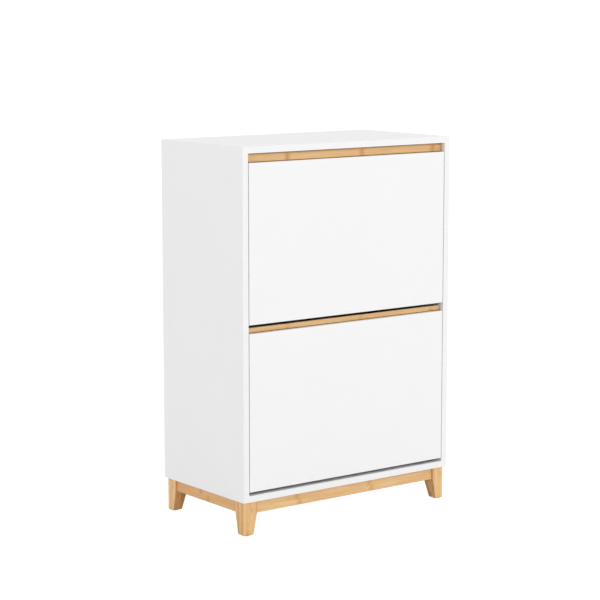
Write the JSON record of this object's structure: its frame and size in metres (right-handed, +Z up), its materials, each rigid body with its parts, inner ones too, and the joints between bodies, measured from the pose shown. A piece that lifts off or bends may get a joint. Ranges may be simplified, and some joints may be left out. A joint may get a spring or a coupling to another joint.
{
  "type": "shoe cabinet",
  "caption": "Upright white tilt-out shoe cabinet: flush fronts that tilt open one above the other, bamboo handle strips, shoe racks inside, bamboo base frame on tapered legs.",
  "frame": {"origin": "centre of the footprint on the floor", "axes": "+Z up; the fronts face -Y; +X is to the right of someone who stands in front of the cabinet"},
  "size_m": [0.6, 0.32, 0.873],
  "materials": {
    "white_board": "white satin melamine on particle board",
    "front_board": "white satin lacquer on fibre board",
    "hardboard": "white painted hardboard",
    "rack_board": "white painted fibre board",
    "bamboo": "laminated bamboo, matt clear lacquer",
    "beech": "plain beech",
    "bracket_plastic": "moulded, fine grain",
    "socket_plastic": "moulded, smooth",
    "steel": "zinc plated",
    "zinc": "die cast",
    "felt": "pressed felt"
  },
  "bodies": {
    "cabinet": {"back_base_rail": "bamboo", "back_cleat": "bamboo", "back_left_glide": "felt", "back_left_leg": "bamboo", "back_panel_screws": "steel", "back_right_glide": "felt", "back_right_leg": "bamboo", "back_stretcher": "white_board", "base_screws": "steel", "bottom_panel": "white_board", "cam_bolts": "steel", "cam_locks": "zinc", "carcass_dowels": "beech", "front_base_rail": "bamboo", "front_cleat": "bamboo", "front_left_glide": "felt", "front_left_leg": "bamboo", "front_right_glide": "felt", "front_right_leg": "bamboo", "hanging_rail": "white_board", "left_base_rail": "bamboo", "left_side_panel": "white_board", "leg_dowels": "beech", "lower_back_panel": "hardboard", "lower_left_pivot_socket": "socket_plastic", "lower_right_pivot_socket": "socket_plastic", "right_base_rail": "bamboo", "right_side_panel": "white_board", "stop_pins": "steel", "top_panel": "white_board", "upper_back_panel": "hardboard", "upper_left_pivot_socket": "socket_plastic", "upper_right_pivot_socket": "socket_plastic"},
    "upper_flap": {"upper_bottom_board": "rack_board", "upper_bracket_screws": "steel", "upper_divider_board": "rack_board", "upper_front_panel": "front_board", "upper_handle_screws": "steel", "upper_handle_strip": "bamboo", "upper_left_bracket": "bracket_plastic", "upper_pivot_pins": "steel", "upper_rear_board": "rack_board", "upper_right_bracket": "bracket_plastic"},
    "lower_flap": {"lower_bottom_board": "rack_board", "lower_bracket_screws": "steel", "lower_divider_board": "rack_board", "lower_front_panel": "front_board", "lower_handle_screws": "steel", "lower_handle_strip": "bamboo", "lower_left_bracket": "bracket_plastic", "lower_pivot_pins": "steel", "lower_rear_board": "rack_board", "lower_right_bracket": "bracket_plastic"}
  },
  "joints": [
    {"name": "upper_flap_tilt", "type": "hinge", "parent": "cabinet", "child": "upper_flap", "pos_m": [0, -0.136, 0.52097], "axis": [1, 0, 0], "range_deg": [0, 45]},
    {"name": "lower_flap_tilt", "type": "hinge", "parent": "cabinet", "child": "lower_flap", "pos_m": [0, -0.136, 0.14297], "axis": [1, 0, 0], "range_deg": [0, 45]}
  ]
}
